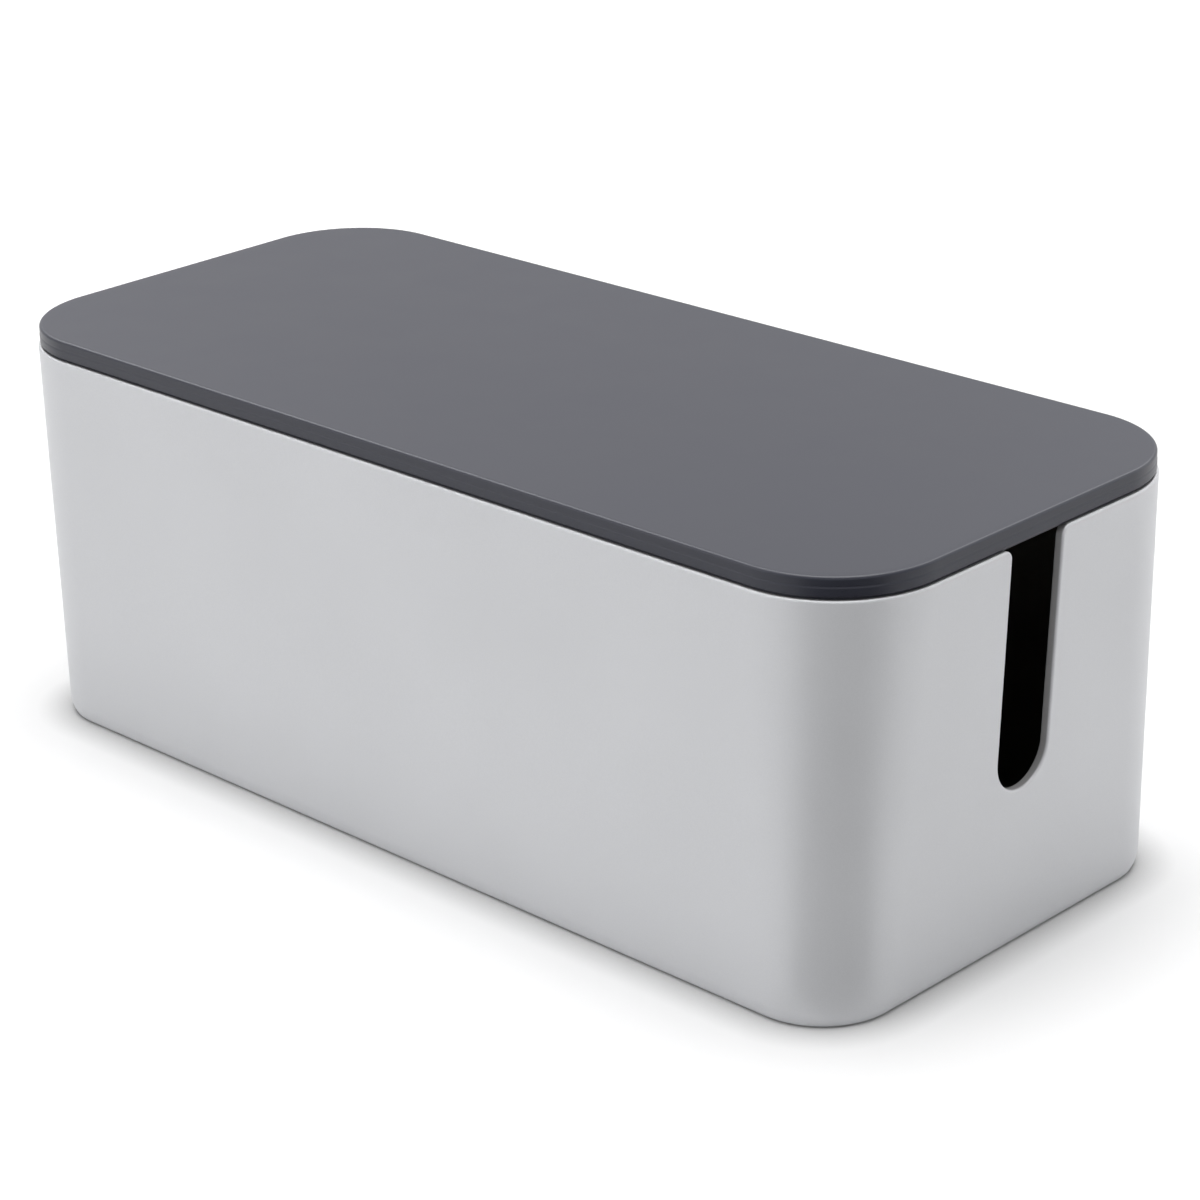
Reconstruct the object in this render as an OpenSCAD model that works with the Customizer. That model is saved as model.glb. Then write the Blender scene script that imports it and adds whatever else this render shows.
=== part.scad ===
// Cable management box: an open tub with a cable slot in each end, a loose lid and four rubber feet.
// Millimetres. The origin is on the table under the middle of the box; X runs along its length,
// -Y is its front and +Z is up.

/* [Tub] */
// Outside length at the rim
box_length = 380; // [340:1:420]
// Outside width at the rim
box_width = 166; // [150:1:190]
// Height of the tub from its underside to its rim
tub_height = 133; // [110:0.5:160]
// Plan radius of the corners at the rim
rim_corner_radius = 37; // [32:0.5:44]
// Plan radius of the corners at the base
base_corner_radius = 26; // [22:0.5:32]
// How far each end wall leans in from the rim to the base
end_lean = 7.1; // [4:0.1:10]
// How far each long wall leans in from the rim to the base
side_lean = 0.7; // [0.5:0.1:2]
// Wall thickness
wall = 3; // [2.4:0.1:3.6]
// Floor thickness
floor_thickness = 3; // [2.6:0.1:4]
// Radius of the outside edge round the base
base_edge_radius = 12; // [9:0.5:15]
// How far the flat underside cuts into that edge
base_edge_cut = 6.6; // [5:0.1:8]
// Radius of the inside edge round the floor
inner_edge_radius = 4.5; // [3:0.5:6]
// Radius of the outside edge of the rim
rim_edge_radius = 0.8; // [0.5:0.1:1]

/* [Cable slots] */
// Width of each slot
slot_width = 23.5; // [16:0.5:32]
// Height of a slot's lowest point over the tub's underside
slot_sill = 53; // [36:1:70]
// Radius of the two upper corners, where a slot opens into the rim
slot_mouth_radius = 3.2; // [2:0.1:5]

/* [Lid] */
// Height of the lid over the rim
lid_height = 7; // [6.4:0.1:9]
// How far the upper part of the lid's side stands in from the rim's outline
lid_inset = 0.7; // [0.5:0.1:1]
// Thickness of the lid's top
lid_top_thickness = 2.6; // [2:0.1:3]
// Radius of the edge round the lid's top
lid_edge_radius = 0.8; // [0.5:0.1:1.5]
// Distance of the fine groove in the lid's side from its top
groove_drop = 2.8; // [2.4:0.1:3.2]
// Height of the groove
groove_height = 0.4; // [0.3:0.1:0.6]
// Depth of the groove
groove_depth = 0.3; // [0.2:0.1:0.5]
// How far the side stands out again under the groove
lid_step_out = 0.2; // [0.1:0.1:0.4]
// Height of the recessed band that makes the dark line over the rim
reveal_height = 1; // [0.5:0.1:1.4]
// Depth of that band
reveal_depth = 1.1; // [0.6:0.1:1.4]
// How far the locating lip reaches down inside the tub
lip_depth = 5; // [3:0.5:8]
// Thickness of the locating lip
lip_thickness = 1.8; // [1.4:0.1:2.4]
// Gap between the locating lip and the tub's wall
lip_clearance = 0.4; // [0.3:0.1:0.8]
// Extra width of the gap in the lip over a slot, on each side
lip_gap_margin = 5; // [4:1:10]

/* [Lid ribs] */
// Number of ribs across the lid
cross_ribs = 5; // [3:1:9]
// Number of ribs along the lid
long_ribs = 2; // [1:1:3]
// Thickness of a rib
rib_thickness = 1.4; // [1:0.1:2]
// How far a rib stands out of the lid's underside
rib_depth = 2.6; // [1.5:0.1:3]

/* [Feet] */
// Diameter of a foot
foot_diameter = 14; // [10:0.5:18]
// How far a foot stands out under the tub
foot_proud = 0.4; // [0.3:0.1:1.2]
// Depth of the pocket that holds a foot
foot_pocket_depth = 1.2; // [0.8:0.1:1.6]
// Gap round a foot in its pocket
foot_clearance = 0.2; // [0.1:0.1:0.4]
// Radius of a foot's lower edge
foot_edge_radius = 0.3; // [0.1:0.1:0.5]
// Distance of a foot's centre from the base's end and side
foot_inset = 26; // [22:1:34]

/* [Hidden] */

shell_color = [0.75, 0.755, 0.765];
lid_color = [0.3, 0.305, 0.315];
foot_color = [0.08, 0.08, 0.085];

arc_sides = 64;
edge_sides = 24;
bore_sides = 96;
cut = 1;

base_z = foot_proud;
rim_z = base_z + tub_height;
end_lean_rate = end_lean / tub_height;
side_lean_rate = side_lean / tub_height;
corner_rate = (rim_corner_radius - base_corner_radius) / tub_height;

lid_top_z = rim_z + lid_height;
lid_under_z = lid_top_z - lid_top_thickness;
lip_radius = rim_corner_radius - wall - lip_clearance;
lip_inner_radius = lip_radius - lip_thickness;
lip_inner_length = box_length - 2 * (wall + lip_clearance + lip_thickness);
lip_inner_width = box_width - 2 * (wall + lip_clearance + lip_thickness);
rib_bite = lip_thickness / 2;

core_x = box_length / 2 - rim_corner_radius;
core_y = box_width / 2 - rim_corner_radius;
foot_x = box_length / 2 - end_lean - foot_inset;
foot_y = box_width / 2 - side_lean - foot_inset;

// The tub's half length, half width and corner radius at height z
function half_length(z) = box_length / 2 - end_lean_rate * (rim_z - z);
function half_width(z) = box_width / 2 - side_lean_rate * (rim_z - z);
function corner_radius(z) = rim_corner_radius - corner_rate * (rim_z - z);

// Four rings, one in each corner of the plan at height z, whose round section has radius edge
module corner_rings(z, inset, edge) {
    ring_radius = corner_radius(z) - inset - edge;
    ring_x = half_length(z) - corner_radius(z);
    ring_y = half_width(z) - corner_radius(z);
    for (sx = [-1, 1], sy = [-1, 1])
        translate([sx * ring_x, sy * ring_y, z])
            rotate_extrude($fn = arc_sides)
                translate([ring_radius, 0])
                    circle(r = edge, $fn = edge_sides);
}

// The tub's outer form: rings at the base and the rim, joined by straight leaning walls. The flat
// underside cuts the lower rings, so that the walls curve in a little and end in an edge
module tub_outside() {
    difference() {
        hull() {
            corner_rings(base_z + base_edge_radius - base_edge_cut, 0, base_edge_radius);
            corner_rings(rim_z - rim_edge_radius, 0, rim_edge_radius);
        }
        translate([-box_length / 2, -box_width / 2, base_z - base_edge_cut - cut])
            cube([box_length, box_width, base_edge_cut + cut]);
    }
}

// The space inside, one wall thickness in and open at the top
module tub_inside() {
    hull() {
        corner_rings(base_z + floor_thickness + inner_edge_radius, wall, inner_edge_radius);
        corner_rings(rim_z + cut, wall, rim_edge_radius);
    }
}

// A cable slot as a flat shape: straight sides, a half-round sill and a mouth that flares into the rim
module slot_shape() {
    slot_radius = slot_width / 2;
    sill_centre = base_z + slot_sill + slot_radius;
    mouth_y = slot_radius + slot_mouth_radius;
    translate([0, sill_centre])
        circle(r = slot_radius, $fn = bore_sides);
    translate([-slot_radius, sill_centre])
        square([slot_width, rim_z + cut - sill_centre]);
    difference() {
        translate([-mouth_y, rim_z - slot_mouth_radius])
            square([2 * mouth_y, slot_mouth_radius + cut]);
        for (side = [-1, 1])
            translate([side * mouth_y, rim_z - slot_mouth_radius])
                circle(r = slot_mouth_radius, $fn = bore_sides);
    }
}

// Cuts one slot through the end wall at +X
module slot_cutter() {
    slot_reach = wall + end_lean + cut;
    translate([box_length / 2 - slot_reach, 0, 0])
        rotate([90, 0, 90])
            linear_extrude(slot_reach + cut)
                slot_shape();
}

// The shallow round pockets in the underside that hold the feet
module foot_pockets() {
    pocket_radius = foot_diameter / 2 + foot_clearance;
    for (sx = [-1, 1], sy = [-1, 1])
        translate([sx * foot_x, sy * foot_y, 0])
            cylinder(r = pocket_radius, h = base_z + foot_pocket_depth, $fn = bore_sides);
}

module tub() {
    color(shell_color)
        difference() {
            tub_outside();
            tub_inside();
            slot_cutter();
            mirror([1, 0, 0]) slot_cutter();
            foot_pockets();
        }
}

// Half of the lid's section, from a corner's centre out to the side
module lid_section() {
    side = rim_corner_radius - lid_inset;
    groove_side = side - groove_depth;
    groove_top_z = lid_top_z - groove_drop;
    groove_low_z = groove_top_z - groove_height;
    lower_side = side + lid_step_out;
    band = lower_side - reveal_depth;
    difference() {
        polygon([
            [0, lid_under_z],
            [0, lid_top_z],
            [side, lid_top_z],
            [side, groove_top_z],
            [groove_side, groove_top_z],
            [groove_side, groove_low_z],
            [lower_side, groove_low_z],
            [lower_side, rim_z + reveal_height],
            [band, rim_z + reveal_height],
            [band, rim_z],
            [lip_radius, rim_z],
            [lip_radius, rim_z - lip_depth],
            [lip_inner_radius, rim_z - lip_depth],
            [lip_inner_radius, lid_under_z],
        ]);
        translate([side - lid_edge_radius, lid_top_z - lid_edge_radius])
            difference() {
                square(lid_edge_radius + cut);
                circle(r = lid_edge_radius, $fn = bore_sides);
            }
    }
}

// Carries the section round the rim's rounded rectangle and fills the middle of the top
module lid_form() {
    for (sx = [0, 1], sy = [0, 1])
        mirror([sx, 0, 0])
            mirror([0, sy, 0])
                translate([core_x, core_y, 0])
                    rotate_extrude(angle = 90, $fn = bore_sides)
                        lid_section();
    for (turn = [0, 180])
        rotate([0, 0, turn]) {
            translate([core_x, core_y, 0])
                rotate([90, 0, 0])
                    linear_extrude(2 * core_y)
                        lid_section();
            translate([-core_x, core_y, 0])
                rotate([90, 0, 90])
                    linear_extrude(2 * core_x)
                        lid_section();
        }
    translate([-core_x, -core_y, lid_under_z])
        cube([2 * core_x, 2 * core_y, lid_top_thickness]);
}

// Opens the locating lip over the slot at +X, so that the leads lie free
module lip_gap_cutter() {
    gap_width = slot_width + 2 * (slot_mouth_radius + lip_gap_margin);
    gap_reach = wall + lip_clearance + lip_thickness + cut;
    translate([box_length / 2 - gap_reach, -gap_width / 2, rim_z - lip_depth - cut])
        cube([gap_reach, gap_width, lip_depth + cut]);
}

module lid_ribs() {
    rib_z = lid_under_z - rib_depth;
    across = lip_inner_width + 2 * rib_bite;
    along = lip_inner_length + 2 * rib_bite;
    cross_pitch = lip_inner_length / (cross_ribs + 1);
    long_pitch = lip_inner_width / (long_ribs + 1);
    for (i = [1 : cross_ribs])
        translate([i * cross_pitch - lip_inner_length / 2 - rib_thickness / 2, -across / 2, rib_z])
            cube([rib_thickness, across, rib_depth + lid_top_thickness / 2]);
    for (i = [1 : long_ribs])
        translate([-along / 2, i * long_pitch - lip_inner_width / 2 - rib_thickness / 2, rib_z])
            cube([along, rib_thickness, rib_depth + lid_top_thickness / 2]);
}

module lid() {
    color(lid_color)
        difference() {
            union() {
                lid_form();
                lid_ribs();
            }
            lip_gap_cutter();
            mirror([1, 0, 0]) lip_gap_cutter();
        }
}

// One foot at the corner that sx and sy choose, from the table up to the ceiling of its pocket
module foot(sx, sy) {
    foot_radius = foot_diameter / 2;
    color(foot_color)
        translate([sx * foot_x, sy * foot_y, 0])
            rotate_extrude($fn = bore_sides)
                difference() {
                    square([foot_radius, base_z + foot_pocket_depth]);
                    translate([foot_radius - foot_edge_radius, foot_edge_radius])
                        difference() {
                            translate([0, -foot_edge_radius - cut])
                                square(foot_edge_radius + cut);
                            circle(r = foot_edge_radius, $fn = bore_sides);
                        }
                }
}

module foot_front_left() { foot(-1, -1); }
module foot_front_right() { foot(1, -1); }
module foot_rear_left() { foot(-1, 1); }
module foot_rear_right() { foot(1, 1); }

tub();
lid();
foot_front_left();
foot_front_right();
foot_rear_left();
foot_rear_right();
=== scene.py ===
import math

import bpy
import numpy as np
from bpy.props import FloatProperty, FloatVectorProperty, IntProperty, PointerProperty, StringProperty
from mathutils import Matrix, Vector


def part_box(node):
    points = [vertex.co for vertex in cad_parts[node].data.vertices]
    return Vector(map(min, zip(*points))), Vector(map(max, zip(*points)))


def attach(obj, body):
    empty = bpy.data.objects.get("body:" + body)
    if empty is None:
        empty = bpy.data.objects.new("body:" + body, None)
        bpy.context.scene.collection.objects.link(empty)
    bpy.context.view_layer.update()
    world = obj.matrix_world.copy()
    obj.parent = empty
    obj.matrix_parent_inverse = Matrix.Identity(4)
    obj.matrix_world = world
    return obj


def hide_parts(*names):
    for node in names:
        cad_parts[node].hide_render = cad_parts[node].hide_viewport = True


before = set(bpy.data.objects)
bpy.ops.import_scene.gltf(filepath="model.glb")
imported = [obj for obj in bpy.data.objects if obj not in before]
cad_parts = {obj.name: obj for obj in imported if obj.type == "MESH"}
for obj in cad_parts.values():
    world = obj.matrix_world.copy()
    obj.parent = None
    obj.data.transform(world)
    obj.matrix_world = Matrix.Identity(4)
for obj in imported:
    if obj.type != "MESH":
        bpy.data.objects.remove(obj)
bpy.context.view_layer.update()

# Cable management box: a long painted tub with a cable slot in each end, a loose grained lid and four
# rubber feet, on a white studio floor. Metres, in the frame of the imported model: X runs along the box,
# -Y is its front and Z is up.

bl_info = {
    "name": "Cable Management Box",
    "version": (1, 0, 0),
    "blender": (4, 5, 0),
    "location": "3D View > Sidebar > Cable Box",
    "description": "Builds the tub, lid, feet and studio of a cable management box",
    "category": "Add Mesh",
}

TUB_LOW, TUB_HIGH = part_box("tub")
LID_LOW, LID_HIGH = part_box("lid")
FOOT_NODES = ("foot_front_left", "foot_front_right", "foot_rear_left", "foot_rear_right")
MM = 0.001

# Each lamp's name, azimuth and elevation in degrees, distance and size in metres, power in watts, and
# whether it lights matt surfaces. The last two shine in reflections only, and draw the thin bright
# lines along the lid's front and right edges.
LAMPS = (
    ("left_softbox", -30, 20, 2.6, 1.8, 10.9, True),
    ("right_softbox", 150, 20, 2.6, 1.8, 9.2, True),
    ("top_softbox", 225, 88, 2.2, 2.0, 66, True),
    ("left_edge_light", -97, 46, 2.2, 0.9, 15, False),
    ("right_edge_light", 186, 42, 2.2, 0.9, 9, False),
)


def length(name, description, default):
    """A length in metres, as a property that a user can change."""
    return FloatProperty(
        name=name, description=description, default=default,
        min=0.0, unit="LENGTH", subtype="DISTANCE", precision=5,
    )


def hex_color(name, description, default):
    """An sRGB colour, kept as six hex digits."""
    return StringProperty(name=name, description=description, default=default, maxlen=6)


class TubSizes(bpy.types.PropertyGroup):
    """Sizes of the tub, its rim and its two cable slots."""

    box_length: length("Length", "Outside length at the rim", TUB_HIGH.x - TUB_LOW.x)
    box_width: length("Width", "Outside width at the rim", TUB_HIGH.y - TUB_LOW.y)
    base_z: length("Base height", "Height of the underside over the table", TUB_LOW.z)
    rim_z: length("Rim height", "Height of the rim over the table", TUB_HIGH.z)
    rim_corner: length("Rim corner", "Plan radius of the corners at the rim", 37 * MM)
    base_corner: length("Base corner", "Plan radius of the corners at the base", 26 * MM)
    end_lean: length("End lean", "How far an end wall leans in from rim to base", 7.1 * MM)
    side_lean: length("Side lean", "How far a long wall leans in from rim to base", 0.7 * MM)
    wall: length("Wall", "Thickness of the walls", 3 * MM)
    floor: length("Floor", "Thickness of the floor", 3 * MM)
    base_edge: length("Base edge", "Radius of the outside edge round the base", 12 * MM)
    base_cut: length("Base cut", "How far the flat underside cuts into that edge", 6.6 * MM)
    under_edge: length("Underside edge", "Radius of the small edge that is left there", 0.3 * MM)
    floor_edge: length("Floor edge", "Radius of the inside edge round the floor", 4.5 * MM)
    outer_edge: length("Outer edge", "Radius of the outer edge of the rim and the slots", 0.8 * MM)
    inner_edge: length("Inner edge", "Radius of the inner edge of the rim and the slots", 0.35 * MM)
    slot_width: length("Slot width", "Width of a cable slot", 23.5 * MM)
    slot_sill: length("Slot sill", "Height of a slot's lowest point over the underside", 53 * MM)
    slot_mouth: length("Slot mouth", "Radius of the two corners where a slot meets the rim", 3.2 * MM)


class LidSizes(bpy.types.PropertyGroup):
    """Sizes of the lid, its lip and its ribs."""

    top_z: length("Top height", "Height of the lid's top over the table", LID_HIGH.z)
    lip_z: length("Lip height", "Height of the lip's lower edge over the table", LID_LOW.z)
    side_in: length("Side inset", "How far the upper side stands in from the rim's outline", 0.7 * MM)
    top: length("Top", "Thickness of the lid's top", 2.6 * MM)
    top_edge: length("Top edge", "Radius of the edge round the top", 1.0 * MM)
    groove_drop: length("Groove drop", "Distance of the soft groove from the top", 2.4 * MM)
    groove_height: length("Groove height", "Height of the groove", 1.2 * MM)
    groove_depth: length("Groove depth", "Depth of the groove", 0.07 * MM)
    step_out: length("Step out", "How far the side stands out again under the groove", 0.1 * MM)
    reveal_height: length("Reveal height", "Height of the recessed band over the rim", 1.0 * MM)
    reveal_in: length("Reveal inset", "Depth of the recessed band", 1.1 * MM)
    lower_edge: length("Lower edge", "Radius of the edge over the recessed band", 0.3 * MM)
    lip_gap: length("Lip clearance", "Gap between the lip and the tub's wall", 0.4 * MM)
    lip: length("Lip", "Thickness of the locating lip", 1.8 * MM)
    lip_opening: length("Lip opening", "Width of the gap in the lip over a slot", 39.9 * MM)
    rib: length("Rib", "Thickness of a rib", 1.4 * MM)
    rib_depth: length("Rib depth", "How far a rib stands out of the underside", 2.6 * MM)
    cross_ribs: IntProperty(
        name="Cross ribs", description="Number of ribs across the lid", default=5, min=0,
    )
    long_ribs: IntProperty(
        name="Long ribs", description="Number of ribs along the lid", default=2, min=0,
    )


class FootSizes(bpy.types.PropertyGroup):
    """Sizes of the rubber feet and their pockets. Their places come from the frame."""

    lower_edge: length("Lower edge", "Radius of a foot's lower edge", 0.3 * MM)
    upper_edge: length("Upper edge", "Radius of a foot's upper edge", 0.15 * MM)
    clearance: length("Clearance", "Gap round a foot in its pocket", 0.2 * MM)
    flare: length("Flare", "Radius of the edge round a pocket's mouth", 0.3 * MM)


class Finishes(bpy.types.PropertyGroup):
    """Colours of the finishes, as sRGB hex values."""

    paint: hex_color("Paint", "Satin silver paint on the tub's outside", "CBCCCF")
    bare: hex_color("Bare plastic", "Unpainted plastic inside the tub", "6A645D")
    lid: hex_color("Lid", "Dark grey plastic of the lid", "1F212E")
    rubber: hex_color("Rubber", "Black rubber of the feet", "1B1B1C")
    studio: hex_color("Studio", "Floor of the studio", "F0F0F0")


class StudioSettings(bpy.types.PropertyGroup):
    """Camera and light of the studio."""

    azimuth: FloatProperty(
        name="Azimuth", description="Camera's direction round the box, from its front towards +X",
        default=math.radians(44.63), subtype="ANGLE",
    )
    elevation: FloatProperty(
        name="Elevation", description="Camera's height over the horizon",
        default=math.radians(22.39), subtype="ANGLE",
    )
    roll: FloatProperty(
        name="Roll", description="Camera's turn about its own axis",
        default=math.radians(-1.48), subtype="ANGLE",
    )
    distance: length("Distance", "Distance from the camera to the point it looks at", 1.12927)
    aim: FloatVectorProperty(
        name="Aim", description="Point that the camera looks at",
        default=(0.00625, 0.00787, 0.06232), subtype="TRANSLATION",
    )
    lens: FloatProperty(
        name="Lens", description="Focal length in millimetres, on a 36 mm sensor", default=103.27,
    )
    ambient: FloatProperty(
        name="Ambient", description="Strength of the world for diffuse light", default=0.15, min=0.0,
    )
    floor_lift: FloatProperty(
        name="Floor lift", description="Glow that brings the floor up to white for the camera",
        default=0.035, min=0.0,
    )
    flag_turn: FloatProperty(
        name="Flag turn", description="Turn of the dark flag from the camera towards the right end",
        default=math.radians(5), subtype="ANGLE",
    )
    flag_gap: length("Flag gap", "Gap between the box's rounded near corner and the dark flag", 7 * MM)
    flag_edge: length("Flag edge", "Width of the flag next to the box", 60 * MM)
    flag_reach: length("Flag reach", "How far the flag reaches over the floor from the box", 1.2)


# --- surfaces ---------------------------------------------------------------------------------


def arc(centre, radius, start, end, steps):
    """Points on a circular arc in a section plane, from angle start to angle end in degrees."""
    angle = np.radians(np.linspace(start, end, steps + 1))
    return np.column_stack([centre[0] + radius * np.cos(angle), centre[1] + radius * np.sin(angle)])


def with_guards(points, guard):
    """The same open line of points, with two more on each stretch longer than four guards, one guard
    from either end of it, so that a flat stretch shades flat right up to its rounded edges."""
    step = np.diff(points, axis=0)
    span = np.linalg.norm(step, axis=1, keepdims=True)
    reach = step / np.maximum(span, 1e-9) * guard
    trio = np.stack([points[:-1], points[:-1] + reach, points[1:] - reach], axis=1)
    long = (span[:, 0] > 4 * guard)
    kept = np.column_stack([np.ones(len(step), bool), long, long])
    return np.vstack([trio[kept], points[-1:]])


def all_round(quarter):
    """A quarter grid, rows by columns by xyz, that runs from the middle of the +X end to the middle of
    the +Y side, laid out with its three mirror images as one closed ring of columns."""
    back = quarter[:, ::-1]
    return np.concatenate(
        [
            quarter[:, :-1],
            (back * (-1, 1, 1))[:, :-1],
            (quarter * (-1, -1, 1))[:, :-1],
            (back * (1, -1, 1))[:, :-1],
        ],
        axis=1,
    )


def capped_ring(rings):
    """Vertices and faces of a closed skin over a grid of rings, rows by columns by xyz. Each row is a
    closed ring, and the first and the last are each closed to a point at their middle."""
    rows, columns = rings.shape[:2]
    points = np.vstack([rings.reshape(-1, 3), rings[0].mean(axis=0), rings[-1].mean(axis=0)])
    here = np.arange(columns)
    after = np.roll(here, -1)
    lower = (np.arange(rows - 1) * columns)[:, None]
    quads = np.stack(
        [lower + here, lower + after, lower + columns + after, lower + columns + here], axis=2
    ).reshape(-1, 4)
    first, last = rows * columns, rows * columns + 1
    top = (rows - 1) * columns
    start_cap = np.column_stack([after, here, np.full(columns, first)])
    end_cap = np.column_stack([top + here, top + after, np.full(columns, last)])
    return points, quads.tolist() + start_cap.tolist() + end_cap.tolist()


def outward(points, faces):
    """The faces, turned over if they enclose a negative volume, so that they all point outwards."""
    fans = [(f[0], f[i], f[i + 1]) for f in faces for i in range(1, len(f) - 1)]
    a, b, c = (points[list(column)] for column in zip(*fans))
    volume = np.einsum("ij,ij->i", a, np.cross(b, c)).sum()
    return faces if volume > 0 else [face[::-1] for face in faces]


def solid(name, parts):
    """A smooth mesh object that holds closed skins, each given as its vertices and faces."""
    points, faces, count = [], [], 0
    for skin_points, skin_faces in parts:
        points.append(skin_points)
        faces += [[count + i for i in face] for face in outward(skin_points, skin_faces)]
        count += len(skin_points)
    mesh = bpy.data.meshes.new(name)
    mesh.from_pydata(np.vstack(points).tolist(), [], faces)
    mesh.update()
    made = bpy.data.objects.new(name, mesh)
    bpy.context.scene.collection.objects.link(made)
    return made


def revolved(profile, centre, columns):
    """Skin of a solid of revolution: each point of the profile is a radius and a height, and turns
    about the vertical line through centre."""
    turn = np.linspace(0, 2 * math.pi, columns, endpoint=False)
    radius, height = profile[:, :1], profile[:, 1:]
    return capped_ring(
        np.stack(
            [
                centre[0] + radius * np.cos(turn),
                centre[1] + radius * np.sin(turn),
                np.broadcast_to(height, (len(profile), columns)),
            ],
            axis=2,
        )
    )


def bar(section, axis, start, end):
    """Skin of a straight bar along X (axis 0) or Y (axis 1): a closed section, given as points across
    the bar and up it, is carried from start to end."""
    along = np.array([start, end])[:, None]
    across = np.broadcast_to(section[:, 0], (2, len(section)))
    height = np.broadcast_to(section[:, 1], (2, len(section)))
    along = np.broadcast_to(along, across.shape)
    order = (along, across, height) if axis == 0 else (across, along, height)
    return capped_ring(np.stack(order, axis=2))


def combine(piece, tool, operation):
    """Joins a closed tool mesh to a piece or cuts it out of it, keeps the result and uses up the tool."""
    modifier = piece.modifiers.new(operation.lower(), "BOOLEAN")
    modifier.operation = operation
    modifier.solver = "EXACT"
    modifier.object = tool
    bpy.context.view_layer.update()
    graph = bpy.context.evaluated_depsgraph_get()
    shaped = bpy.data.meshes.new_from_object(piece.evaluated_get(graph))
    piece.modifiers.clear()
    plain = piece.data
    piece.data = shaped
    bpy.data.meshes.remove(plain)
    bpy.data.objects.remove(tool)
    if not shaped.polygons:
        raise RuntimeError(f"{piece.name}: nothing is left after {operation.lower()}")


def finish_piece(piece, material, body, slot, *nodes):
    """Shades a piece smooth up to its sharp edges, dresses it and ties it to the frame."""
    mesh = piece.data
    mesh.polygons.foreach_set("use_smooth", np.ones(len(mesh.polygons), bool))
    mesh.set_sharp_from_angle(angle=math.radians(32))
    mesh.materials.clear()
    mesh.materials.append(material)
    mesh.polygons.foreach_set("material_index", np.zeros(len(mesh.polygons), np.int32))
    mesh.update()
    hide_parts(*nodes)
    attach(piece, body)


# --- tub ----------------------------------------------------------------------------------------


def outline_at(sizes, z):
    """Half length, half width and corner radius of the tub's outside at height z: each changes evenly
    from the rim down to the base."""
    fall = (sizes.rim_z - z) / (sizes.rim_z - sizes.base_z)
    return (
        sizes.box_length / 2 - sizes.end_lean * fall,
        sizes.box_width / 2 - sizes.side_lean * fall,
        sizes.rim_corner - (sizes.rim_corner - sizes.base_corner) * fall,
    )


def on_wall(sizes, station, z, inset):
    """Points on the wall at height z, inset from its outside. A station is a share of the way along the
    core rectangle in x and in y, and the direction that the wall faces there: the point stands the
    corner radius out from the core in that direction."""
    half_length, half_width, corner = outline_at(sizes, z)
    share_x, share_y, turn = station
    x = share_x * (half_length - corner) + (corner - inset) * np.cos(turn)
    y = share_y * (half_width - corner) + (corner - inset) * np.sin(turn)
    return np.stack(np.broadcast_arrays(x, y, z), axis=2)


def tub_columns(sizes):
    """Columns of the tub's quarter from the middle of the +X slot to the middle of the +Y side. They
    follow the upper edge: round half the sill, up the slot's side, over the mouth's corner, along the
    end, round the corner and along the side. For each, its place on the edge (y and z), the direction
    into the wall (y and z), its y share low down and its station."""
    radius = sizes.slot_width / 2
    sill_z = sizes.base_z + sizes.slot_sill + radius
    mouth, rim = sizes.slot_mouth, sizes.rim_z
    half_length, half_width, corner = outline_at(sizes, rim)
    core_y = half_width - corner
    guard = 1 * MM

    sill = np.linspace(0, math.pi / 2, 15)[:-1]
    side = with_guards(np.linspace([0, sill_z], [0, rim - mouth], 8), guard)[:-1, 1]
    lip = np.linspace(0, math.pi / 2, 13)[:-1]
    end = with_guards(np.linspace([radius + mouth, 0], [core_y, 0], 6), guard)[:-1, 0]
    bend = np.linspace(0, math.pi / 2, 49)[:-1]
    flank = with_guards(np.linspace([1.0, 0], [0.0, 0], 12), guard / (half_length - corner))[:, 0]

    edge_y = np.concatenate([
        radius * np.sin(sill), np.full(len(side), radius), radius + mouth * (1 - np.cos(lip)), end,
        np.full(len(bend) + len(flank), core_y),
    ])
    edge_z = np.concatenate([
        sill_z - radius * np.cos(sill), side, rim - mouth * (1 - np.sin(lip)),
        np.full(len(end) + len(bend) + len(flank), rim),
    ])
    into_y = np.concatenate([
        np.sin(sill), np.ones(len(side)), np.cos(lip), np.zeros(len(end) + len(bend) + len(flank)),
    ])
    into_z = np.concatenate([
        -np.cos(sill), np.zeros(len(side)), -np.sin(lip), -np.ones(len(end) + len(bend) + len(flank)),
    ])
    counts = (len(sill), len(side), len(lip), len(end))
    # Low on the wall, the four stretches start at these shares of the way along the core in y.
    starts = (0.0, 0.3, 0.6, 0.66, 1.0)
    fan = [np.linspace(a, b, n, endpoint=False) for a, b, n in zip(starts, starts[1:], counts)]
    low_share = np.concatenate([*fan, np.ones(len(bend) + len(flank))])
    in_end = sum(counts)
    share_x = np.concatenate([np.ones(in_end + len(bend)), flank])
    turn = np.concatenate([np.zeros(in_end), bend, np.full(len(flank), math.pi / 2)])
    return edge_y, edge_z, into_y, into_z, low_share, share_x, turn


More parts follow.
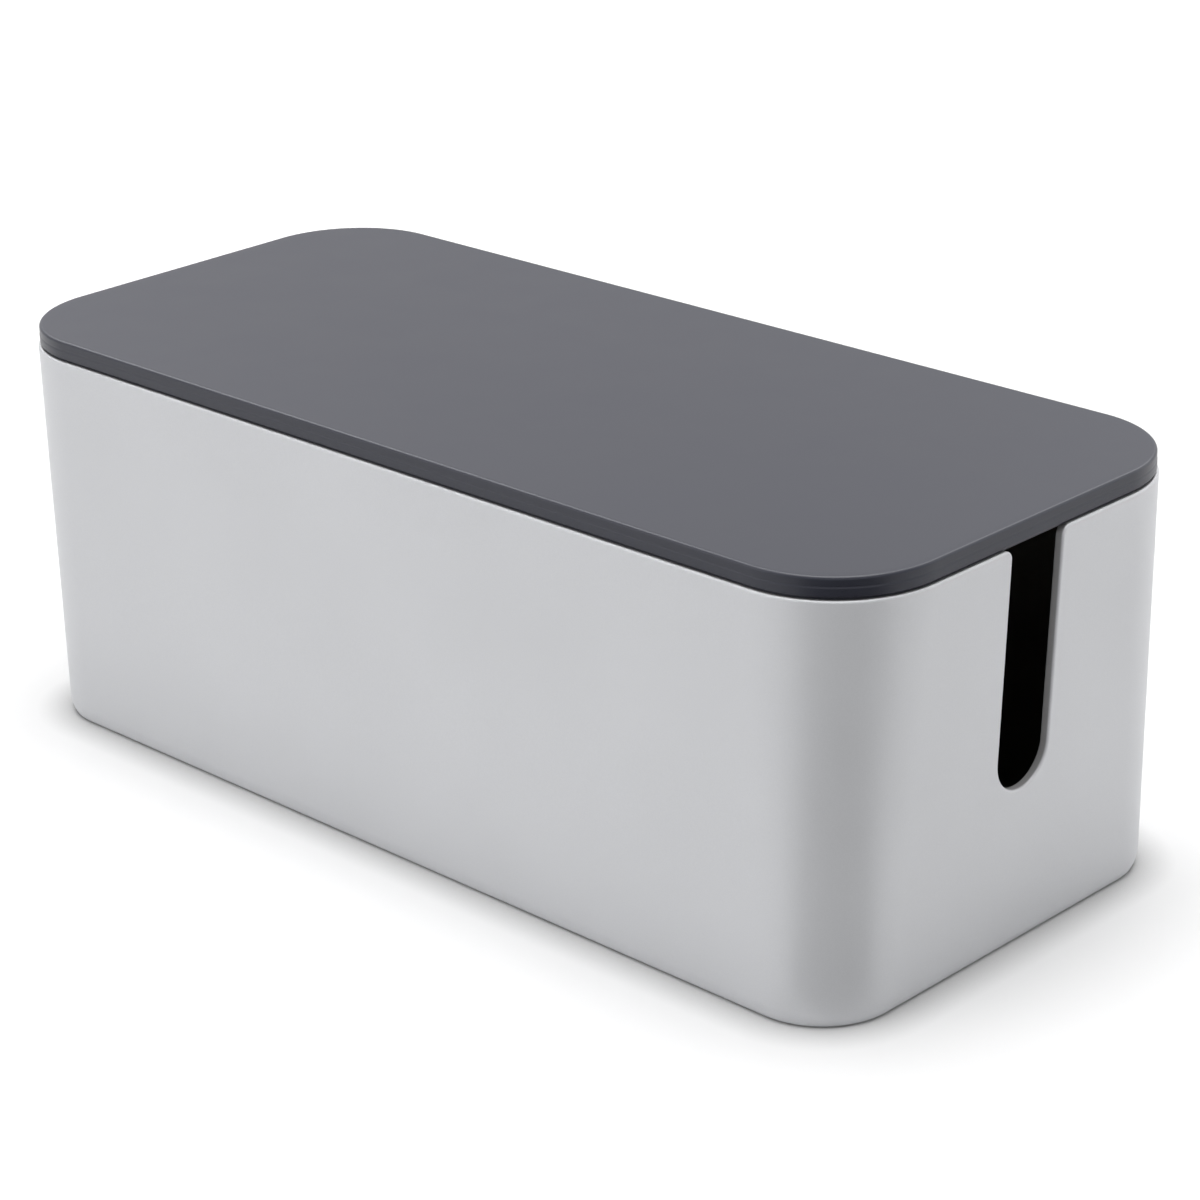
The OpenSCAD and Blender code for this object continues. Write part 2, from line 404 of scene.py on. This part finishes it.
def tub_skin(sizes):
    """The tub as one closed skin. Each column is its section: from the middle of the inner floor out
    and up the inner wall, over the rounded upper edge, down the outer wall, round the base's edge and
    in to the middle of the underside. Near a slot the section leans over, so that its upper edge
    follows the slot: it stands square to the edge there, and fans down to a level line."""
    edge_y, edge_z, into_y, into_z, low_share, share_x, turn = tub_columns(sizes)
    outer, inner, wall = sizes.outer_edge, sizes.inner_edge, sizes.wall
    guard = 0.5 * MM
    hem = outer + 1.2 * MM
    low_z = sizes.base_z + sizes.slot_sill - 6 * MM
    floor_z = sizes.base_z + sizes.floor
    in_end = np.arange(len(turn)) < np.flatnonzero(turn > 0)[0]

    def place(y, z, inset):
        _, half_width, corner = outline_at(sizes, z)
        share_y = np.where(in_end, y / (half_width - corner), 1.0)
        return on_wall(sizes, (share_x, share_y, turn), z, inset)

    def near_edge(section):
        inset, depth = section[:, :1], section[:, 1:]
        return place(edge_y + depth * into_y, edge_z + depth * into_z, inset)

    def fanned(shares, inset):
        _, half_width, corner = outline_at(sizes, low_z)
        start_y, start_z = edge_y + hem * into_y, edge_z + hem * into_z
        low_y = low_share * (half_width - corner)
        shares = np.array(shares)[:, None]
        return place(
            start_y + (low_y - start_y) * shares, start_z + (low_z - start_z) * shares, inset
        )

    def level(profile):
        return on_wall(sizes, (share_x, low_share, turn), profile[:, 1:], profile[:, :1])

    def flat(ring, shares):
        return ring[None] * np.stack([shares, shares, np.ones_like(shares)], axis=1)[:, None]

    floor_edge, big, small = sizes.floor_edge, sizes.base_edge, sizes.under_edge
    inner_wall = with_guards(
        np.vstack([
            arc((wall + floor_edge, floor_z + floor_edge), floor_edge, 270, 180, 12),
            [[wall, low_z]],
        ]),
        guard,
    )
    # The flat underside cuts the big edge short, and a small one rounds the corner that is left.
    sweep = math.asin((big - sizes.base_cut - small) / (big - small))
    meet = big - (big - small) * math.cos(sweep)
    knee = 180 + math.degrees(sweep)
    outer_wall = with_guards(
        np.vstack([
            [[0.0, low_z]],
            arc((big, sizes.base_z + big - sizes.base_cut), big, 180, knee, 12),
            arc((meet, sizes.base_z + small), small, knee, 270, 6)[1:],
        ]),
        guard,
    )
    over_edge = with_guards(
        np.vstack([
            [[wall, hem]],
            arc((wall - inner, inner), inner, 0, -90, 6),
            arc((outer, outer), outer, 270, 180, 10),
            [[0.0, hem]],
        ]),
        0.2 * MM,
    )
    inside, outside = level(inner_wall), level(outer_wall)
    # Rings on the flat floor and underside, as shares of the way out from the middle.
    pull = np.array([0.35, 0.7, 0.97])
    quarter = np.concatenate([
        flat(inside[0], pull),
        inside,
        fanned((0.75, 0.5, 0.25), wall),
        near_edge(over_edge),
        fanned((0.25, 0.5, 0.75), 0.0),
        outside,
        flat(outside[-1], pull[::-1]),
    ])
    return capped_ring(all_round(quarter))


def paint_cover(sizes, points):
    """How much paint a point carries, from 1 outside to 0 inside. It counts the depth under the outer
    wall: over the edge of the rim and of the slots the paint thins to overspray."""
    x, y, z = np.abs(points[:, 0]), np.abs(points[:, 1]), points[:, 2]
    half_length, half_width, corner = outline_at(sizes, z)
    depth = corner - np.hypot(
        np.maximum(x - half_length + corner, 0), np.maximum(y - half_width + corner, 0)
    )
    # Where the paint starts to thin, how far it takes to do so, and what is left of it there.
    start, ramp, overspray = 0.7 * sizes.outer_edge, 0.5 * MM, 0.55
    edge = 1 - np.clip((depth - start) / ramp, 0, 1) * (1 - overspray)
    inside = np.clip((depth - sizes.wall + sizes.inner_edge) / sizes.inner_edge, 0, 1)
    under = z < sizes.base_z + sizes.floor / 2
    under |= (z < sizes.base_z + sizes.base_edge) & (depth < sizes.wall / 2)
    return np.where(under, 1.0, edge * (1 - inside))


# --- lid ----------------------------------------------------------------------------------------


def lid_section(tub, lid):
    """The lid's section as insets from the rim's outline and heights: along the top, round its soft
    edge, down the side with its soft groove, in over the recessed band, down and round the locating
    lip and back in under the top. A share t of the way down the groove, the side has gone in by depth
    * (1 - cos(2 pi t)) / 2 and out by step_out * (1 - cos(pi t)) / 2."""
    side, low_side = lid.side_in, lid.side_in - lid.step_out
    band = low_side + lid.reveal_in
    lip_out = tub.wall + lid.lip_gap
    lip_in = lip_out + lid.lip
    small, nose, root = 0.08 * MM, 0.4 * MM, 0.8 * MM
    down = np.linspace(0, 1, 17)
    hollow = lid.groove_depth * (1 - np.cos(2 * math.pi * down)) / 2
    step = lid.step_out * (1 - np.cos(math.pi * down)) / 2
    groove_z = lid.top_z - lid.groove_drop - lid.groove_height * down
    reveal_z = tub.rim_z + lid.reveal_height
    under_z = lid.top_z - lid.top
    return np.vstack([
        arc((side + lid.top_edge, lid.top_z - lid.top_edge), lid.top_edge, 90, 180, 12),
        np.column_stack([side + hollow - step, groove_z]),
        arc((low_side + lid.lower_edge, reveal_z + lid.lower_edge), lid.lower_edge, 180, 270, 6),
        arc((band - small, reveal_z - small), small, 90, 0, 3),
        [[band, tub.rim_z]],
        arc((lip_out - small, tub.rim_z - small), small, 90, 0, 3),
        arc((lip_out + nose, lid.lip_z + nose), nose, 180, 270, 5),
        arc((lip_in - nose, lid.lip_z + nose), nose, 270, 360, 5),
        arc((lip_in + root, under_z - root), root, 180, 90, 6),
    ])


def lid_skin(tub, lid):
    """The lid without its ribs, as one closed skin: its section is carried round the rim's rounded
    rectangle, and the top and the underside run flat to the middle."""
    half_length, half_width, corner = outline_at(tub, tub.rim_z)
    section = with_guards(lid_section(tub, lid), 0.12 * MM)
    guard = 1 * MM
    end = with_guards(np.array([[0.0, 0], [0.5, 0], [1.0, 0]]), guard / (half_width - corner))[:-1, 0]
    flank = with_guards(np.linspace([1.0, 0], [0.0, 0], 5), guard / (half_length - corner))[:, 0]
    bend = np.linspace(0, math.pi / 2, 49)[:-1]
    share_x = np.concatenate([np.ones(len(end) + len(bend)), flank])
    share_y = np.concatenate([end, np.ones(len(bend) + len(flank))])
    turn = np.concatenate([np.zeros(len(end)), bend, np.full(len(flank), math.pi / 2)])
    inset, height = section[:, :1], section[:, 1:]
    x = share_x * (half_length - corner) + (corner - inset) * np.cos(turn)
    y = share_y * (half_width - corner) + (corner - inset) * np.sin(turn)
    quarter = np.stack(np.broadcast_arrays(x, y, height), axis=2)
    # Rings on the flat top and underside, as shares of the way out from the middle.
    shares = np.array([0.4, 0.8, 0.985])
    pull = np.stack([shares, shares, np.ones_like(shares)], axis=1)[:, None]
    quarter = np.concatenate([quarter[:1] * pull, quarter, quarter[-1:] * pull[::-1]])
    return capped_ring(all_round(quarter))


def rib_bars(tub, lid, axis):
    """The stiffening ribs along one axis: evenly spaced bars with a rounded foot, whose ends reach into
    the middle of the lip."""
    inner_edge = tub.wall + lid.lip_gap + lid.lip
    spans = (tub.box_length / 2 - inner_edge, tub.box_width / 2 - inner_edge)
    reach, spread = spans[axis] + lid.lip / 2, spans[1 - axis]
    count = lid.long_ribs if axis == 0 else lid.cross_ribs
    half, top = lid.rib / 2, lid.top_z - lid.top / 2
    foot = lid.top_z - lid.top - lid.rib_depth
    section = np.vstack([arc((0, foot + half), half, 180, 360, 10), [[half, top], [-half, top]]])
    places = [(2 * i / (count + 1) - 1) * spread for i in range(1, count + 1)]
    return [bar(section + (place, 0), axis, -reach, reach) for place in places]


def lip_cutters(tub, lid):
    """Two blocks with rounded corners that open the lip over the slots."""
    half, soft = lid.lip_opening / 2, 1.2 * MM
    low, high = lid.lip_z - 2 * MM, tub.rim_z
    section = np.vstack([
        arc((-half + soft, high - soft), soft, 180, 90, 6),
        arc((half - soft, high - soft), soft, 90, 0, 6),
        [[half, low], [-half, low]],
    ])
    inner = tub.box_length / 2 - tub.wall - lid.lip_gap - lid.lip - 1 * MM
    outer = tub.box_length / 2 - tub.wall - lid.lip_gap / 2
    return [bar(section, 0, inner, outer), bar(section, 0, -outer, -inner)]


# --- feet ---------------------------------------------------------------------------------------


def foot_place(node):
    """Centre in plan, radius and height of a foot, from the frame."""
    low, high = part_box(node)
    return ((low.x + high.x) / 2, (low.y + high.y) / 2), (high.x - low.x) / 2, high.z


def pocket_cutter(tub, feet, node):
    """Skin of the pocket that a foot is pressed into: a shallow bore whose mouth is rounded over."""
    centre, radius, ceiling = foot_place(node)
    bore, flare = radius + feet.clearance, feet.flare
    profile = np.vstack([
        [[bore + flare, tub.base_z - 1 * MM]],
        arc((bore + flare, tub.base_z + flare), flare, 270, 180, 6),
        [[bore, ceiling]],
    ])
    return revolved(profile, centre, 96)


def foot_skin(feet, node):
    """A foot: a flat rubber disc with a soft lower edge, from the table to the ceiling of its pocket."""
    centre, radius, top = foot_place(node)
    lower, upper = feet.lower_edge, feet.upper_edge
    middle = radius * 0.3
    profile = with_guards(
        np.vstack([
            [[middle, 0.0]],
            arc((radius - lower, lower), lower, 270, 360, 10),
            arc((radius - upper, top - upper), upper, 0, 90, 5),
            [[middle, top]],
        ]),
        0.2 * MM,
    )
    return revolved(profile, centre, 96)


# --- materials ----------------------------------------------------------------------------------


def linear(code):
    """An sRGB hex value as linear red, green, blue and alpha."""
    value = np.array([int(code[i : i + 2], 16) for i in (0, 2, 4)]) / 255
    value = np.where(value <= 0.04045, value / 12.92, ((value + 0.055) / 1.055) ** 2.4)
    return (*value.tolist(), 1.0)


def add(tree, kind, inputs=(), **settings):
    """Adds a node of that kind with its settings. Inputs pair a socket's name or number with a value
    or with the output of another node."""
    node = tree.nodes.new(kind)
    for name, value in settings.items():
        setattr(node, name, value)
    for socket, value in dict(inputs).items():
        if isinstance(value, bpy.types.NodeSocket):
            tree.links.new(value, node.inputs[socket])
        else:
            node.inputs[socket].default_value = value
    return node


def new_material(name):
    """A material with its shader and output still to come, and its node tree."""
    material = bpy.data.materials.new(name)
    material.use_nodes = True
    material.node_tree.nodes.clear()
    return material, material.node_tree


def satin_silver_paint(colors):
    """Silver car-type paint sprayed on moulded ABS: fine aluminium flake under a satin lacquer, so it is
    part mirror and part matt, with a broad soft sheen. Bare ABS, dark and dull, shows where no paint
    reached, as the attribute coat says."""
    material, tree = new_material("satin_silver_paint_on_moulded_abs")
    coat = add(tree, "ShaderNodeAttribute", attribute_name="coat").outputs["Fac"]
    place = add(tree, "ShaderNodeTexCoord").outputs["Object"]
    # Flake is about 0.05 mm across. It is drawn at 0.4 mm, or it wouldn't show at all.
    flake = add(tree, "ShaderNodeTexNoise", {
        "Vector": place, "Scale": 1 / (0.4 * MM), "Detail": 1.0,
    }).outputs[0]
    # Faint clouds from the spray's passes, about 60 mm wide.
    cloud = add(tree, "ShaderNodeTexNoise", {
        "Vector": place, "Scale": 1 / (60 * MM), "Detail": 1.0,
    }).outputs[0]
    # The lacquer's orange peel, 2.5 mm wide.
    peel = add(tree, "ShaderNodeTexNoise", {
        "Vector": place, "Scale": 1 / (2.5 * MM), "Detail": 1.0,
    }).outputs[0]
    mottle = add(tree, "ShaderNodeMath", {0: flake, 1: cloud}, operation="ADD").outputs[0]
    shade = add(tree, "ShaderNodeMapRange", {
        "Value": mottle, "From Min": 0.6, "From Max": 1.4, "To Min": 0.97, "To Max": 1.03,
    }).outputs[0]
    tone = add(tree, "ShaderNodeVectorMath", {
        0: linear(colors.paint)[:3], 1: shade,
    }, operation="MULTIPLY").outputs[0]
    base = add(tree, "ShaderNodeMix", {
        0: coat, 6: linear(colors.bare), 7: tone,
    }, data_type="RGBA").outputs[2]
    metallic = add(tree, "ShaderNodeMath", {0: coat, 1: 0.25}, operation="MULTIPLY").outputs[0]
    roughness = add(tree, "ShaderNodeMapRange", {
        "Value": coat, "To Min": 0.6, "To Max": 0.5,
    }).outputs[0]
    bump = add(tree, "ShaderNodeBump", {
        "Height": peel, "Strength": 1.0, "Distance": 0.004 * MM,
    }).outputs[0]
    # The coat is the satin lacquer over the flake.
    shader = add(tree, "ShaderNodeBsdfPrincipled", {
        "Base Color": base, "Metallic": metallic, "Roughness": roughness, "IOR": 1.5, "Normal": bump,
        "Coat Weight": 0.3, "Coat Roughness": 0.35,
    })
    add(tree, "ShaderNodeOutputMaterial", {"Surface": shader.outputs[0]})
    return material


def grained_dark_abs(colors):
    """Dark grey ABS moulded against a spark-eroded tool: a fine even grain that scatters the gloss, so
    it looks dull from above and pale where it is seen at a low angle."""
    material, tree = new_material("spark_grained_dark_grey_abs")
    place = add(tree, "ShaderNodeTexCoord").outputs["Object"]
    # The tool's grain is about 0.15 mm. It is drawn at 0.45 mm, so that it shows.
    grain = add(tree, "ShaderNodeTexNoise", {
        "Vector": place, "Scale": 1 / (0.45 * MM), "Detail": 2.0,
    }).outputs[0]
    # Soft clouds 25 mm wide, from how the melt cooled.
    cloud = add(tree, "ShaderNodeTexNoise", {
        "Vector": place, "Scale": 1 / (25 * MM), "Detail": 2.0,
    }).outputs[0]
    shade = add(tree, "ShaderNodeMapRange", {
        "Value": cloud, "From Min": 0.3, "From Max": 0.7, "To Min": 0.98, "To Max": 1.02,
    }).outputs[0]
    tone = add(tree, "ShaderNodeVectorMath", {
        0: linear(colors.lid)[:3], 1: shade,
    }, operation="MULTIPLY").outputs[0]
    roughness = add(tree, "ShaderNodeMapRange", {
        "Value": cloud, "From Min": 0.3, "From Max": 0.7, "To Min": 0.38, "To Max": 0.4,
    }).outputs[0]
    bump = add(tree, "ShaderNodeBump", {
        "Height": grain, "Strength": 1.0, "Distance": 0.012 * MM,
    }).outputs[0]
    # ABS itself has an IOR of 1.54. A little less matches the strength of the lid's sheen.
    shader = add(tree, "ShaderNodeBsdfPrincipled", {
        "Base Color": tone, "Roughness": roughness, "IOR": 1.46, "Normal": bump,
    })
    add(tree, "ShaderNodeOutputMaterial", {"Surface": shader.outputs[0]})
    return material


def matt_black_rubber(colors):
    """Moulded black rubber, dull and slightly dusty, with a soft grain and no clear highlight."""
    material, tree = new_material("moulded_matt_black_rubber")
    place = add(tree, "ShaderNodeTexCoord").outputs["Object"]
    # Rubber's skin has a grain of about 0.3 mm.
    grain = add(tree, "ShaderNodeTexNoise", {
        "Vector": place, "Scale": 1 / (0.3 * MM), "Detail": 2.0,
    }).outputs[0]
    shade = add(tree, "ShaderNodeMapRange", {
        "Value": grain, "To Min": 0.85, "To Max": 1.15,
    }).outputs[0]
    tone = add(tree, "ShaderNodeVectorMath", {
        0: linear(colors.rubber)[:3], 1: shade,
    }, operation="MULTIPLY").outputs[0]
    bump = add(tree, "ShaderNodeBump", {
        "Height": grain, "Strength": 1.0, "Distance": 0.02 * MM,
    }).outputs[0]
    shader = add(tree, "ShaderNodeBsdfPrincipled", {
        "Base Color": tone, "Roughness": 0.8, "IOR": 1.52, "Normal": bump,
    })
    add(tree, "ShaderNodeOutputMaterial", {"Surface": shader.outputs[0]})
    return material


def seen_directly(tree):
    """1 for a ray that shows the background: from the camera, or off or through the object."""
    path = add(tree, "ShaderNodeLightPath").outputs
    shown = add(tree, "ShaderNodeMath", {
        0: path["Is Camera Ray"], 1: path["Is Glossy Ray"],
    }, operation="MAXIMUM").outputs[0]
    return add(tree, "ShaderNodeMath", {
        0: shown, 1: path["Is Transmission Ray"],
    }, operation="MAXIMUM").outputs[0]


def studio_floor_white(colors, lift):
    """Matt white studio floor. It takes the object's shadow, and a faint glow that only the camera and
    reflections see brings it up to the white of the background. The glow grows away from the box, where
    the lamps' light falls off."""
    material, tree = new_material("matt_white_studio_floor")
    # A painted shadow where the box meets the floor, 13 mm wide, darkens the floor's colour: the photo's
    # is stronger than the lamps alone give. Only the camera sees it, as the foot of the walls has no such
    # shade.
    open_air = add(tree, "ShaderNodeAmbientOcclusion", {
        "Distance": 13 * MM,
    }, samples=8).outputs["AO"]
    seen = add(tree, "ShaderNodeLightPath").outputs["Is Camera Ray"]
    darkest = add(tree, "ShaderNodeMapRange", {
        "Value": seen, "To Min": 1.0, "To Max": 0.66,
    }).outputs[0]
    painted_contact_shadow = add(tree, "ShaderNodeMapRange", {
        "Value": open_air, "From Min": 0.5, "From Max": 1.0, "To Min": darkest, "To Max": 1.0,
    }).outputs[0]
    tone = add(tree, "ShaderNodeVectorMath", {
        0: linear(colors.studio)[:3], 1: painted_contact_shadow,
    }, operation="MULTIPLY").outputs[0]
    matt = add(tree, "ShaderNodeBsdfDiffuse", {"Color": tone})
    place = add(tree, "ShaderNodeTexCoord").outputs["Object"]
    distance = add(tree, "ShaderNodeVectorMath", {0: place}, operation="LENGTH").outputs["Value"]
    growth = add(tree, "ShaderNodeMapRange", {
        "Value": distance, "From Min": 0.4, "From Max": 1.4, "To Min": lift, "To Max": 0.7,
    }).outputs[0]
    strength = add(tree, "ShaderNodeMath", {0: seen_directly(tree), 1: growth}, operation="MULTIPLY")
    glow = add(tree, "ShaderNodeEmission", {"Strength": strength.outputs[0]})
    both = add(tree, "ShaderNodeAddShader", {0: matt.outputs[0], 1: glow.outputs[0]})
    add(tree, "ShaderNodeOutputMaterial", {"Surface": both.outputs[0]})
    return material


def charcoal_flannel():
    """Charcoal wool flannel: a matt dark grey that gives back about a seventh of the light."""
    material, tree = new_material("charcoal_wool_flannel")
    matt = add(tree, "ShaderNodeBsdfDiffuse", {"Color": (0.14, 0.14, 0.14, 1)})
    add(tree, "ShaderNodeOutputMaterial", {"Surface": matt.outputs[0]})
    return material


# --- studio -------------------------------------------------------------------------------------


def studio_world(ambient):
    """A white room: white where it is seen directly, and softer as a source of light."""
    world = bpy.data.worlds.new("white_room")
    world.use_nodes = True
    tree = world.node_tree
    tree.nodes.clear()
    strength = add(tree, "ShaderNodeMapRange", {
        "Value": seen_directly(tree), "To Min": ambient, "To Max": 1.0,
    }).outputs[0]
    light = add(tree, "ShaderNodeBackground", {"Color": (1, 1, 1, 1), "Strength": strength})
    add(tree, "ShaderNodeOutputWorld", {"Surface": light.outputs[0]})
    bpy.context.scene.world = world


def towards(azimuth, elevation):
    """The direction at that azimuth, from the box's front towards +X, and that height over the horizon,
    both in radians."""
    level = math.cos(elevation)
    return Vector((math.sin(azimuth) * level, -math.cos(azimuth) * level, math.sin(elevation)))


def level_sheet(name, corners, height, material):
    """A flat four-cornered piece of the studio: its corners in plan, counterclockwise, and its height."""
    mesh = bpy.data.meshes.new(name)
    mesh.from_pydata(np.column_stack([corners, np.full(4, height)]).tolist(), [], [(0, 1, 2, 3)])
    mesh.materials.append(material)
    sheet = bpy.data.objects.new(name, mesh)
    bpy.context.scene.collection.objects.link(sheet)
    return sheet


def studio_floor(material):
    """A level square floor under the box, wide enough to fill the camera's view."""
    reach = 6.0
    corners = np.array([[-1, -1], [1, -1], [1, 1], [-1, 1]]) * reach
    floor = level_sheet("studio_floor", corners, 0.0, material)


def dark_flag(sizes, studio):
    """A flat dark cloth in front of the box's near corner, which widens away from the box, just over the
    floor. Only glossy reflections see it: it darkens what the paint and the lid mirror at that corner."""
    out = np.array(towards(studio.azimuth + studio.flag_turn, 0.0)[:2])
    side = np.array([-out[1], out[0]])
    rounded_off = sizes.rim_corner * (math.sqrt(2) - 1)
    near = np.array([TUB_HIGH.x, TUB_LOW.y]) + out * (studio.flag_gap - rounded_off)
    far = near + out * studio.flag_reach
    widening, height = 0.8, 2 * MM
    spread = side * studio.flag_reach * widening
    edge = side * studio.flag_edge / 2
    corners = np.array([near - edge, far - spread, far + spread, near + edge])
    flag = level_sheet("dark_flag", corners, height, charcoal_flannel())
    flag.visible_camera = flag.visible_diffuse = False
    flag.visible_shadow = flag.visible_transmission = False


def softbox(name, azimuth, elevation, distance, size, power, lights_matt):
    """A square area lamp that faces the box, as a row of LAMPS says."""
    away = towards(math.radians(azimuth), math.radians(elevation))
    lamp = bpy.data.lights.new(name, "AREA")
    lamp.shape = "SQUARE"
    lamp.size = size
    lamp.energy = power
    made = bpy.data.objects.new(name, lamp)
    turn = away.to_track_quat("Z", "Y").to_matrix().to_4x4()
    made.matrix_world = Matrix.Translation(away * distance) @ turn
    made.visible_diffuse = lights_matt
    bpy.context.scene.collection.objects.link(made)


def studio_camera(studio):
    """A long lens that looks at the aim point from its azimuth and elevation, turned by its roll."""
    back = towards(studio.azimuth, studio.elevation)
    level = Vector((math.cos(studio.azimuth), math.sin(studio.azimuth), 0))
    right = level * math.cos(studio.roll) + back.cross(level) * math.sin(studio.roll)
    camera = bpy.data.cameras.new("studio_camera")
    camera.sensor_width = 36
    camera.lens = studio.lens
    made = bpy.data.objects.new("studio_camera", camera)
    turn = Matrix((right, back.cross(right), back)).transposed().to_4x4()
    made.matrix_world = Matrix.Translation(Vector(studio.aim) + back * studio.distance) @ turn
    bpy.context.scene.collection.objects.link(made)
    bpy.context.scene.camera = made


# --- operators ----------------------------------------------------------------------------------


class BuildTub(bpy.types.Operator):
    """Makes the painted tub with its slots and foot pockets"""

    bl_idname = "cable_box.build_tub"
    bl_label = "Build Tub"

    def execute(self, context):
        scene = context.scene
        sizes = scene.cable_box_tub
        tub = solid("painted_tub", [tub_skin(sizes)])
        pockets = [pocket_cutter(sizes, scene.cable_box_feet, node) for node in FOOT_NODES]
        combine(tub, solid("pockets", pockets), "DIFFERENCE")
        points = np.empty(len(tub.data.vertices) * 3, np.float32)
        tub.data.vertices.foreach_get("co", points)
        coat = tub.data.attributes.new("coat", "FLOAT", "POINT")
        coat.data.foreach_set("value", paint_cover(sizes, points.reshape(-1, 3)).astype(np.float32))
        finish_piece(tub, satin_silver_paint(scene.cable_box_finishes), "tub_body", "tub_shell", "tub")
        return {"FINISHED"}


class BuildLid(bpy.types.Operator):
    """Makes the grained lid with its lip and ribs"""

    bl_idname = "cable_box.build_lid"
    bl_label = "Build Lid"

    def execute(self, context):
        scene = context.scene
        sizes, lid_sizes = scene.cable_box_tub, scene.cable_box_lid
        lid = solid("grained_lid", [lid_skin(sizes, lid_sizes)])
        for axis in (0, 1):
            combine(lid, solid("ribs", rib_bars(sizes, lid_sizes, axis)), "UNION")
        combine(lid, solid("lip_openings", lip_cutters(sizes, lid_sizes)), "DIFFERENCE")
        finish_piece(lid, grained_dark_abs(scene.cable_box_finishes), "lid_body", "lid_shell", "lid")
        return {"FINISHED"}


class BuildFeet(bpy.types.Operator):
    """Makes the four rubber feet"""

    bl_idname = "cable_box.build_feet"
    bl_label = "Build Feet"

    def execute(self, context):
        scene = context.scene
        rubber = matt_black_rubber(scene.cable_box_finishes)
        for node in FOOT_NODES:
            foot = solid("rubber_" + node, [foot_skin(scene.cable_box_feet, node)])
            finish_piece(foot, rubber, "tub_body", "foot_rubber", node)
        return {"FINISHED"}


class BuildStudio(bpy.types.Operator):
    """Makes the room, the floor, the dark flag, the lamps and the camera"""

    bl_idname = "cable_box.build_studio"
    bl_label = "Build Studio"

    def execute(self, context):
        scene = context.scene
        studio = scene.cable_box_studio
        scene.view_settings.view_transform = "Standard"
        studio_world(studio.ambient)
        studio_floor(studio_floor_white(scene.cable_box_finishes, studio.floor_lift))
        dark_flag(scene.cable_box_tub, studio)
        for lamp in LAMPS:
            softbox(*lamp)
        studio_camera(studio)
        return {"FINISHED"}


class CableBoxPanel(bpy.types.Panel):
    """Lists the steps that build the box"""

    bl_idname = "VIEW3D_PT_cable_box"
    bl_label = "Cable Box"
    bl_space_type = "VIEW_3D"
    bl_region_type = "UI"
    bl_category = "Cable Box"

    def draw(self, context):
        for operator in OPERATORS:
            self.layout.operator(operator.bl_idname)


GROUPS = {
    "cable_box_tub": TubSizes,
    "cable_box_lid": LidSizes,
    "cable_box_feet": FootSizes,
    "cable_box_finishes": Finishes,
    "cable_box_studio": StudioSettings,
}
OPERATORS = (BuildTub, BuildLid, BuildFeet, BuildStudio)


def register():
    for group in (*GROUPS.values(), *OPERATORS, CableBoxPanel):
        bpy.utils.register_class(group)
    for name, group in GROUPS.items():
        setattr(bpy.types.Scene, name, PointerProperty(type=group))


def unregister():
    for name in GROUPS:
        delattr(bpy.types.Scene, name)
    for group in (CableBoxPanel, *reversed(OPERATORS), *reversed(GROUPS.values())):
        bpy.utils.unregister_class(group)


def main():
    register()
    bpy.ops.cable_box.build_tub()
    bpy.ops.cable_box.build_lid()
    bpy.ops.cable_box.build_feet()
    bpy.ops.cable_box.build_studio()


if __name__ == "__main__":
    main()
